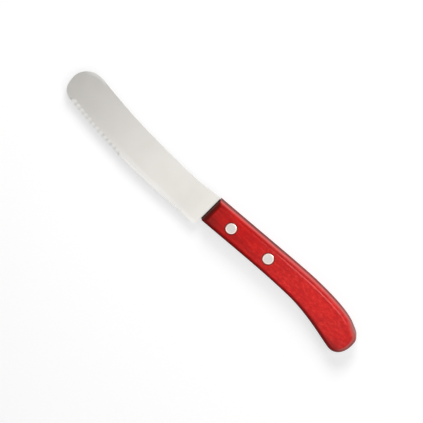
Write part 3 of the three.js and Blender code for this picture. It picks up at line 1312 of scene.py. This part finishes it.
@dataclass
class Blade:
    """The ground steel blade with its scalloped edge and half tang. Sizes in millimetres.

    Attributes:
        origin: Zero point of the drawing, on the handle's front, in metres.
        handle: The handle, whose outline the tang has.
        rivets: Centres of the rivets, in metres.
        thickness: Thickness at the handle.
        nose_thickness: Thickness of the spine at the nose.
        edge_thickness: Thickness at the edge, where the grind is full.
        ricasso: Where the grind starts, ahead of the handle.
        plunge: Length over which it fades in.
        nose: Foremost point.
        crown: Highest point, behind the nose.
        waist: Lowest point of the spine.
        toe: Where the cutting edge starts.
        belly: Its lowest point.
        heel: Where it ends.
        heel_back: Where the heel's round corner ends.
        toe_slope: Direction of the edge at the toe.
        heel_slope: Its direction at the heel.
        lap: How far the blade's plate laps into the tang's.
        tang_end: Where the tang ends, along the handle.
        scalloped: Length of the scalloped edge, from the toe.
        pitch: Distance between scallops.
        scallop: How far each reaches up from the edge.
        tilt: Lean of the wheel that hollows them, in degrees.
        bevel_width: Width of the plain edge's bevel.
        bevel_drop: How far the bevel drops below the face.
        bevel_fade: Length over which it starts behind the scallops.
        facets: Points along each stroke of the outline.
        stations: Steps along the blade at which the grind is shaped.
        edge_steps: Steps along each stroke of the edge.
        wheel_facets: Facets around the wheel.
        smooth_below: Edges sharper than this, in degrees, stay sharp.
        spine_lean: How far a face leans to the spine to count as part of it.
        upper_lean: How far it leans up to count as an upper face.
        edge_lean: How far an upper face leans to the edge to count as its bevel.
        scallop_lean: How far to count as a scallop.
        finishes: The finish of each area.
    """

    origin: Vector
    handle: Handle
    rivets: list[Vector]
    thickness: float = 1.5
    nose_thickness: float = 1.1
    edge_thickness: float = 0.4
    ricasso: float = 3.0
    plunge: float = 16.0
    nose: Pair = (-108.6, 1.8)
    crown: Pair = (-97.0, 12.4)
    waist: Pair = (-21.4, 7.5)
    toe: Pair = (-100.1, -9.35)
    belly: Pair = (-41.8, -13.85)
    heel: Pair = (-3.0, -12.4)
    heel_back: Pair = (-0.6, -10.0)
    toe_slope: Pair = (1, -0.22)
    heel_slope: Pair = (1, 0.06)
    lap: float = 2.0
    tang_end: float = 48.7
    scalloped: float = 40.0
    pitch: float = 3.3
    scallop: float = 0.5
    tilt: float = 77.0
    bevel_width: float = 1.4
    bevel_drop: float = 0.14
    bevel_fade: float = 4.0
    facets: int = 36
    stations: int = 48
    edge_steps: int = 400
    wheel_facets: int = 480
    smooth_below: float = 4.0
    spine_lean: float = 0.3
    upper_lean: float = 0.1
    edge_lean: float = 0.06
    scallop_lean: float = 0.17
    finishes: tuple[SatinSteel, ...] = (
        BladeSteel(),
        SatinSteel("ground_edge", (0.825, 0.81, 0.785, 1), (0.795, 0.78, 0.755, 1), (0.24, 0.3)),
        # Lighter steel on the scallops: a painted highlight on their facets.
        SatinSteel("scalloped_edge", (0.91, 0.895, 0.865, 1), (0.88, 0.865, 0.835, 1), (0.28, 0.34)),
        # Dark steel on the tang: painted shade in the handle's slot.
        SatinSteel("dull_tang", (0.2, 0.17, 0.16, 1), (0.16, 0.13, 0.12, 1), (0.5, 0.6)),
        SatinSteel("brushed_spine", (0.98, 0.97, 0.95, 1), (0.96, 0.95, 0.93, 1), (0.6, 0.7)),
    )

    def edge(self) -> list[Stroke]:
        """Give the cutting edge.

        Returns:
            Its strokes from the toe to the heel.
        """
        return [
            Stroke(self.toe, self.belly, self.toe_slope, (1, 0), (0.1, 0.52)),
            Stroke(self.belly, self.heel, (1, 0), self.heel_slope, (0.4, 0.1)),
        ]

    def strokes(self) -> list[Stroke]:
        """Give the blade's outline, with a lap into the handle.

        Returns:
            The strokes, round from the handle's spine.
        """
        spine, belly = (0.0, self.handle.front_spine), (0.0, self.handle.front_belly)
        choil = (self.heel_back[0], belly[1])
        lap_spine = (self.lap, spine[1] - self.lap)
        lap_belly = (self.lap, belly[1] + self.lap)
        return [
            Stroke(spine, self.waist, (-1, 0), (-1, 0), (0.47, 0.5)),
            Stroke(self.waist, self.crown, (-1, 0), (-1, 0), (0.67, 0.06)),
            Stroke(self.crown, self.nose, (-1, 0), (0, -1), (0.4, 0.38)),
            Stroke(self.nose, self.toe, (0, -1), self.toe_slope, (0.68, 0.3)),
            *self.edge(),
            Stroke(self.heel, self.heel_back, self.heel_slope, (0, 1), (0.39, 0.39)),
            Stroke(self.heel_back, choil),
            Stroke(choil, belly),
            Stroke(belly, lap_belly),
            Stroke(lap_belly, lap_spine),
            Stroke(lap_spine, spine),
        ]

    def grind(self, x: float) -> float:
        """Find how far the grind has faded in, from 0 at the ricasso to 1 ahead of the plunge."""
        return ease(-x, self.ricasso, self.ricasso + self.plunge)

    def face(self, x: float, y: float) -> float:
        """Find the upper face's height above the middle of the thickness.

        Args:
            x: Place along the blade, in millimetres.
            y: Place across it.

        Returns:
            The height before the edge is bevelled.
        """
        spine = (self.thickness + (self.nose_thickness - self.thickness) * x / self.nose[0]) / 2
        edge = spine + (self.edge_thickness / 2 - spine) * self.grind(x)
        return spine + (edge - spine) * (self.crown[1] - y) / (self.crown[1] - self.belly[1])

    def drop(self, x: float) -> float:
        """Find the plain bevel's drop at the edge, which is nothing at the scallops and the ricasso."""
        start = self.toe[0] + self.scalloped
        return self.bevel_drop * ease(x, start, start + self.bevel_fade) * self.grind(x)

    def wedge(self) -> bpy.types.Object:
        """Make the wedge that the grind and the edge bevel leave of the blank.

        Returns:
            A block, shaped at each station along the blade.
        """
        first, last = self.nose[0] - self.lap, self.lap
        top, bottom = self.crown[1], self.belly[1]
        middle = (top + bottom) / 2
        centre = self.origin + Vector(((first + last) / 2, middle, 0)) * MM
        block = Bench.block("wedge", centre, (last - first, top - bottom, self.thickness))
        stations = [first + (last - first) * step / self.stations for step in range(self.stations + 1)]
        Bench.open(block)
        for station in stations[1:-1]:
            bpy.ops.mesh.select_all(action="SELECT")
            bpy.ops.mesh.bisect(plane_co=self.origin + Vector((station, 0, 0)) * MM, plane_no=(1, 0, 0))
        bpy.ops.mesh.select_all(action="SELECT")
        bpy.ops.mesh.bisect(plane_co=centre, plane_no=(0, 1, 0))
        for station in stations:
            edge = self.edge_height(station)
            low, high = edge - self.bevel_width, edge + self.bevel_width
            for old, new in ((bottom, low), (middle, high), (top, top)):
                place = self.origin + Vector((station, old, 0)) * MM
                Bench.choose(block, Element.VERT, lambda co: (co.xy - place.xy).length < NEAR)
                bpy.ops.transform.translate(value=(0, (new - old) * MM, 0))
                height = 2 * self.face(station, new) / self.thickness
                bpy.ops.transform.resize(value=(1, 1, height), center_override=self.origin)
            outside = self.origin + Vector((station, low, 0)) * MM
            Bench.choose(
                block, Element.VERT, lambda co: (co.xy - outside.xy).length < NEAR and co.z > outside.z
            )
            bpy.ops.transform.translate(value=(0, 0, -2 * self.drop(station) * MM))
        bpy.ops.mesh.select_all(action="SELECT")
        bpy.ops.mesh.quads_convert_to_tris()
        Bench.close()
        Bench.tidy(block)
        return block

    def tang(self) -> bpy.types.Object:
        """Saw out the tang, which has the handle's outline.

        Returns:
            The tang as a plate.
        """
        plate = Sheet(self.origin, self.handle.facets).plate(self.handle.strokes(), self.thickness)
        Bench.open_all(plate)
        bpy.ops.mesh.bisect(
            plane_co=self.origin + Vector((self.tang_end, 0, 0)) * MM, plane_no=(1, 0, 0),
            use_fill=True, clear_outer=True,
        )
        Bench.close()
        Bench.tidy(plate)
        return plate

    def edge_path(self) -> list[Vector]:
        """Follow the cutting edge in small steps.

        Returns:
            Points of the drawing from the toe to the heel.
        """
        path: list[Vector] = []
        for stroke in self.edge():
            start, end = Vector(stroke.start), Vector(stroke.end)
            first, second = stroke.pulls()
            for step in range(self.edge_steps):
                t = step / self.edge_steps
                s = 1 - t
                path.append(start * s ** 3 + first * 3 * s * s * t + second * 3 * s * t * t + end * t ** 3)
        return path

    def edge_height(self, x: float) -> float:
        """Find where the cutting edge lies across the blade, held level beyond both of its ends."""
        return min(self.edge_path(), key=lambda point: abs(point.x - x)).y

    def scallops(self) -> list[tuple[Vector, float]]:
        """Step along the front of the edge, one scallop at a time.

        Returns:
            Each scallop's place in the drawing and the edge's direction there, in radians.
        """
        places: list[tuple[Vector, float]] = []
        path = self.edge_path()
        run = -self.pitch / 2
        for a, b in zip(path, path[1:]):
            if run >= len(places) * self.pitch and run < self.scalloped - self.pitch / 2:
                places.append((a, math.atan2(b.y - a.y, b.x - a.x)))
            run += (b - a).length
        return places

    def wheel(self, place: Vector, direction: float) -> bpy.types.Object:
        """Set the leaning wheel that hollows one scallop into the upper face.

        Args:
            place: The scallop's place in the drawing.
            direction: The edge's direction there, in radians.

        Returns:
            The wheel as a solid.
        """
        tilt = math.radians(self.tilt)
        bite = self.scallop * math.cos(tilt)
        radius = self.pitch ** 2 / (8 * bite) + bite / 2
        wheel = Bench.rod(radius, 4 * radius, Vector(), self.wheel_facets)
        spot = self.origin + Vector((place.x, place.y, 0)) * MM
        notch = Vector((0, self.scallop, -self.edge_thickness / 2)) * MM
        wheel.matrix_world = (
            Matrix.Translation(spot) @ Matrix.Rotation(direction, 4, "Z") @ Matrix.Translation(notch)
            @ Matrix.Rotation(-tilt, 4, "X") @ Matrix.Translation((0, -radius * MM, 0))
        )
        Bench.settle(wheel, "wheel")
        return wheel

    def build(self) -> bpy.types.Object:
        """Model the blade.

        Returns:
            The finished piece.
        """
        piece = Sheet(self.origin, self.facets).plate(self.strokes(), self.thickness)
        Bench.cut(piece, self.wedge(), Cut.COMMON)
        Bench.cut(piece, self.tang(), Cut.JOIN)
        for place, direction in self.scallops():
            Bench.cut(piece, self.wheel(place, direction), Cut.AWAY)
        for place in self.rivets:
            Bench.cut(piece, Bench.rod(self.handle.shank_bore / 2, 4 * self.thickness, place), Cut.AWAY)
        Bench.settle(piece, "steel_blade")
        Bench.smooth(piece, self.smooth_below)
        self.dress(piece)
        return piece

    def area(self, face: bpy.types.MeshPolygon) -> Area:
        """Tell which area of the blade a face belongs to.

        Args:
            face: The face.

        Returns:
            The area.
        """
        if face.center.x > self.origin.x + self.handle.corner * MM:
            return Area.TANG
        if face.normal.y > self.spine_lean:
            return Area.SPINE
        if face.normal.z > self.upper_lean and face.normal.y < -self.edge_lean:
            return Area.EDGE if face.normal.y > -self.scallop_lean else Area.SCALLOPS
        return Area.FACE

    def dress(self, piece: bpy.types.Object) -> None:
        """Finish each area of the blade and set it on the frame.

        Args:
            piece: The blade.
        """
        piece.data.materials.clear()
        for finish in self.finishes:
            piece.data.materials.append(finish.material())
        for face in piece.data.polygons:
            face.material_index = self.area(face).value
        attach(piece, "root")
        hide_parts("blade")


@dataclass
class Rivet:
    """A two-part cutler's rivet: a stud pressed into a socket. Sizes in millimetres.

    Attributes:
        name: The rivet's name.
        place: Its centre, in metres.
        head: Width of both heads.
        head_face: Height of a head's face, from the centre.
        head_seat: Height of its seat.
        chamfer: Width of the worn corner of heads and pin.
        wear: How far the middle of that corner is worn back, as a share of its width.
        rim: Width of the bright rim of a face.
        rim_start: Where the rim's finish starts, as a share of the disc inside it.
        tube: Width of the socket's tube.
        tube_bore: Width of its bore.
        pin: Width of the stud's pin.
        end_gap: Gap between the end of pin or tube and the other head.
        smooth_below: Edges sharper than this, in degrees, stay sharp.
        disc: Finish of the face.
        polish_and_reflection: Finish of its rim: polished, tinted pink as a painted reflection of the red
            wood.
    """

    name: str
    place: Vector
    head: float = 6.6
    head_face: float = 5.95
    head_seat: float = 4.35
    chamfer: float = 0.25
    wear: float = 0.3
    rim: float = 0.75
    rim_start: float = 0.9
    tube: float = 4.4
    tube_bore: float = 3.2
    pin: float = 2.6
    end_gap: float = 0.6
    smooth_below: float = 40.0
    disc: TurnedAluminium = TurnedAluminium(
        "turned_rivet_face", (0.74, 0.71, 0.68, 1), (0.64, 0.615, 0.59, 1), (0.34, 0.46)
    )
    # Polished rim, tinted pink as a painted reflection of the red wood.
    polish_and_reflection: TurnedAluminium = TurnedAluminium(
        "polished_rivet_rim", (0.99, 0.74, 0.66, 1), (0.98, 0.72, 0.64, 1), (0.2, 0.26)
    )

    def profile(self, half: Half) -> list[Pair]:
        """Give one half's profile, from the axis round to the axis.

        Args:
            half: The stud or the socket.

        Returns:
            Radius and height of each corner.
        """
        head, face, seat, worn = self.head / 2, self.head_face, self.head_seat, self.chamfer
        back = self.wear * worn
        if half is Half.STUD:
            pin, end = self.pin / 2, self.end_gap - seat
            return [
                (0, end), (pin - worn, end), (pin, end + worn), (pin, seat), (head, seat),
                (head, face - worn), (head - back, face - back), (head - worn, face),
                (head - self.rim, face), (0, face),
            ]
        tube, bore, end = self.tube / 2, self.tube_bore / 2, seat - self.end_gap
        return [
            (0, -face), (head - self.rim, -face), (head - worn, -face), (head - back, back - face),
            (head, worn - face), (head, -seat), (tube, -seat), (tube, end), (bore, end), (bore, -seat),
            (0, -seat),
        ]

    def turn(self, half: Half) -> bpy.types.Object:
        """Turn one half on the lathe.

        Args:
            half: The stud or the socket.

        Returns:
            The half as a closed mesh object.
        """
        Bench.clear()
        bpy.ops.mesh.primitive_plane_add(size=1 * MM, location=self.place)
        piece = bpy.context.object
        Bench.settle(piece, f"turned_{self.name}_{half.value}")
        corners = [self.place + Vector((radius, 0, height)) * MM for radius, height in self.profile(half)]
        Bench.open_all(piece)
        bpy.ops.mesh.merge(type="CENTER")
        bpy.ops.mesh.select_all(action="SELECT")
        bpy.ops.transform.translate(value=corners[0] - self.place)
        for here, after in zip(corners, corners[1:]):
            bpy.ops.mesh.extrude_vertices_move(TRANSFORM_OT_translate={"value": after - here})
        bpy.ops.mesh.select_all(action="SELECT")
        bpy.ops.mesh.spin(steps=ROUND_FACETS, angle=2 * math.pi, center=self.place, axis=(0, 0, 1))
        Bench.close()
        Bench.tidy(piece)
        return piece

    def build(self) -> list[bpy.types.Object]:
        """Model both halves.

        Returns:
            The stud and the socket.
        """
        pieces = []
        for half in Half:
            piece = self.turn(half)
            Bench.smooth(piece, self.smooth_below)
            self.dress(piece, half)
            pieces.append(piece)
        return pieces

    def dress(self, piece: bpy.types.Object, half: Half) -> None:
        """Face off one half and set it on the frame.

        Args:
            piece: The stud or the socket.
            half: Which of them it is.
        """
        piece.data.materials.clear()
        piece.data.materials.append(self.disc.material())
        piece.data.materials.append(self.polish_and_reflection.material())
        inner = self.rim_start * (self.head / 2 - self.rim) * MM
        for face in piece.data.polygons:
            outside = (face.center - self.place).xy.length > inner
            face.material_index = int(outside and abs(face.center.z - self.place.z) > self.head_seat * MM)
        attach(piece, "root")
        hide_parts(f"{self.name}_{half.value}")


@dataclass(frozen=True)
class Softbox:
    """A rectangle of soft light.

    Attributes:
        name: The lamp's name.
        place: Where it stands, in metres.
        aim: What it points at, in metres.
        size: Its width and height, in metres.
        power: Its power, in watts.
    """

    name: str
    place: Triple
    aim: Triple
    size: Pair
    power: float

    def build(self) -> None:
        """Set up the lamp."""
        lamp = bpy.data.lights.new(self.name, "AREA")
        lamp.shape = "RECTANGLE"
        lamp.size, lamp.size_y = self.size
        lamp.energy = self.power
        stand = bpy.data.objects.new(self.name, lamp)
        bpy.context.scene.collection.objects.link(stand)
        stand.location = self.place
        stand.rotation_euler = (Vector(self.aim) - Vector(self.place)).to_track_quat("-Z", "Y").to_euler()


@dataclass
class Studio:
    """The pale floor, the light and the camera. Lengths in metres.

    Attributes:
        floor_size: Length and width of the floor.
        floor_tone: The floor's colour in the light that it throws back.
        floor_bands: How much of the white floor is lit, so that its shadows show.
        floor_light: How strongly the lamps light that share. The rest glows.
        glare_bands: How bright the knife mirrors the floor, at its spine or behind its butt.
        open_floor: How bright it mirrors the floor close by, and in the open.
        world_light: Strength of the room's light.
        room: Strength of the mirrored room, on the dark side and on the bright one.
        bright_side: Where the bright side starts and is full, across the knife.
        distance: Distance of the camera.
        azimuth: Its direction about the knife, in degrees.
        elevation: Its height over the floor, in degrees.
        roll: Its turn about its own axis, in degrees.
        target: What it points at.
        pixel: Width of a pixel at the target.
        depth: How far it sees.
        lamps: The lamps.
    """

    floor_size: float = 6.0
    floor_tone: Colour = (0.15, 0.15, 0.15, 1)
    floor_bands: tuple[Band, ...] = (
        Band(ACROSS, (-0.018, 0.008), (0.62, 0.32)),
        Band(ALONG, (-0.12, -0.105), (0.6, 1)),
        Band(ALONG, (0.095, 0.12), (1, 1.4)),
    )
    floor_light: float = 0.775
    glare_bands: tuple[Band, Band] = (
        Band(ACROSS, (-0.012, 0.01), (0.15, 1)),
        Band(ALONG, (0.106, 0.113), (0.15, 1)),
    )
    open_floor: Band = Band(OpenSky(0.03), (0.5, 0.95), (0.08, 1))
    world_light: float = 0.15
    room: Pair = (0.3, 1)
    bright_side: Pair = (0.45, 0.95)
    distance: float = 1.5
    azimuth: float = 208.9653
    elevation: float = 75.3665
    roll: float = -164.7301
    target: Triple = (-0.0010249, 0.0004279, 0.006)
    pixel: float = 0.0005698
    depth: float = 20.0
    lamps: tuple[Softbox, ...] = (
        Softbox("key_light", (-0.33, 0.49, 0.455), (0, 0, 0), (0.3, 0.3), 3.0),
        Softbox("overhead_light", (0.16, -0.08, 0.4), (0.16, -0.08, 0), (0.44, 0.44), 0.455),
        Softbox("line_light", (0.23, 0.27, 0.7), (0.23, 0.01, 0.012), (0.2, 0.34), 1.12),
        Softbox("edge_light", (-0.11, -0.37, 0.45), (-0.11, -0.012, 0.006), (0.28, 0.2), 0.12),
        Softbox("rim_light", (0.1, 0.8, 0.16), (0.1, 0, 0.02), (1.2, 0.3), 1.4),
    )

    def floor(self) -> None:
        """Lay the floor, which is white in the picture and keeps the knife's shadow."""
        Bench.clear()
        bpy.ops.mesh.primitive_plane_add(size=self.floor_size)
        floor = bpy.context.object
        floor.name = "floor"
        surface = Surface("pale_floor")
        direct, mirrored = surface.rays()
        share = surface.meet(self.floor_bands)
        rest = surface.calculate(Calculation.TIMES_PLUS, share, -self.floor_light, 1.0)
        white = surface.join("AddShader", surface.matt(share), surface.glow(rest))
        glare = surface.calculate(Calculation.GREATER, *map(surface.band, self.glare_bands))
        glare = surface.calculate(Calculation.TIMES, surface.band(self.open_floor), glare)
        plain = surface.join("MixShader", mirrored, surface.matt(self.floor_tone), surface.glow(glare))
        seen = surface.join("MixShader", direct, plain, white)
        surface.feed(surface.tree.nodes["Material Output"].inputs["Surface"], seen)
        floor.data.materials.append(surface.material)

    def sky(self) -> None:
        """Give the room an even pale light, white behind the knife and bright on the spine's side."""
        world = bpy.data.worlds.new("room")
        bpy.context.scene.world = world
        world.use_nodes = True
        graph = Graph(world.node_tree)
        direct, mirrored = graph.rays()
        way = graph.split(graph.node("TexCoord").outputs["Generated"], Axis.ACROSS)
        light = graph.choose(mirrored, self.world_light, graph.span(way, self.bright_side, self.room))
        light = graph.choose(direct, light, 1.0)
        room = world.node_tree.nodes["Background"]
        room.inputs["Color"].default_value = WHITE
        graph.feed(room.inputs["Strength"], light)

    def camera(self) -> None:
        """Set up the camera at the picture's viewing angle."""
        a, e, r = (math.radians(v) for v in (self.azimuth, self.elevation, self.roll))
        back = Vector((math.sin(a) * math.cos(e), -math.cos(a) * math.cos(e), math.sin(e)))
        level = Vector((math.cos(a), math.sin(a), 0))
        rise = back.cross(level)
        right = level * math.cos(r) + rise * math.sin(r)
        up = rise * math.cos(r) - level * math.sin(r)
        lens = bpy.data.cameras.new("camera")
        lens.sensor_fit = "HORIZONTAL"
        lens.lens = lens.sensor_width * self.distance / (PICTURE_WIDTH * self.pixel)
        lens.clip_end = self.depth
        camera = bpy.data.objects.new("camera", lens)
        bpy.context.scene.collection.objects.link(camera)
        turn = Matrix((right, up, back)).transposed().to_4x4()
        camera.matrix_world = Matrix.Translation(Vector(self.target) + back * self.distance) @ turn
        bpy.context.scene.camera = camera

    def build(self) -> None:
        """Set up the floor, the light and the camera."""
        bpy.context.scene.view_settings.view_transform = "Standard"
        self.floor()
        self.sky()
        for lamp in self.lamps:
            lamp.build()
        self.camera()


def rivet_place(name: str) -> Vector:
    """Find a rivet's centre in the frame.

    Args:
        name: The rivet's name.

    Returns:
        The middle of its two halves.
    """
    low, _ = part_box(f"{name}_socket")
    _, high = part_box(f"{name}_stud")
    return (low + high) / 2


def main() -> None:
    """Build the knife and its studio."""
    logging.basicConfig(level=logging.INFO, format="%(message)s")
    low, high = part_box("handle")
    origin = Vector((low.x, high.y - Handle.crest[1] * MM, (low.z + high.z) / 2))
    names = ("front_rivet", "rear_rivet")
    places = [rivet_place(name) for name in names]
    handle = Handle(origin, places)
    pieces = [handle.build(), Blade(origin, handle, places).build()]
    for name, place in zip(names, places):
        pieces.extend(Rivet(name, place).build())
    for piece in pieces:
        log.info("%s: %d faces", piece.name, len(piece.data.polygons))
    Studio().build()


if __name__ == "__main__":
    main()
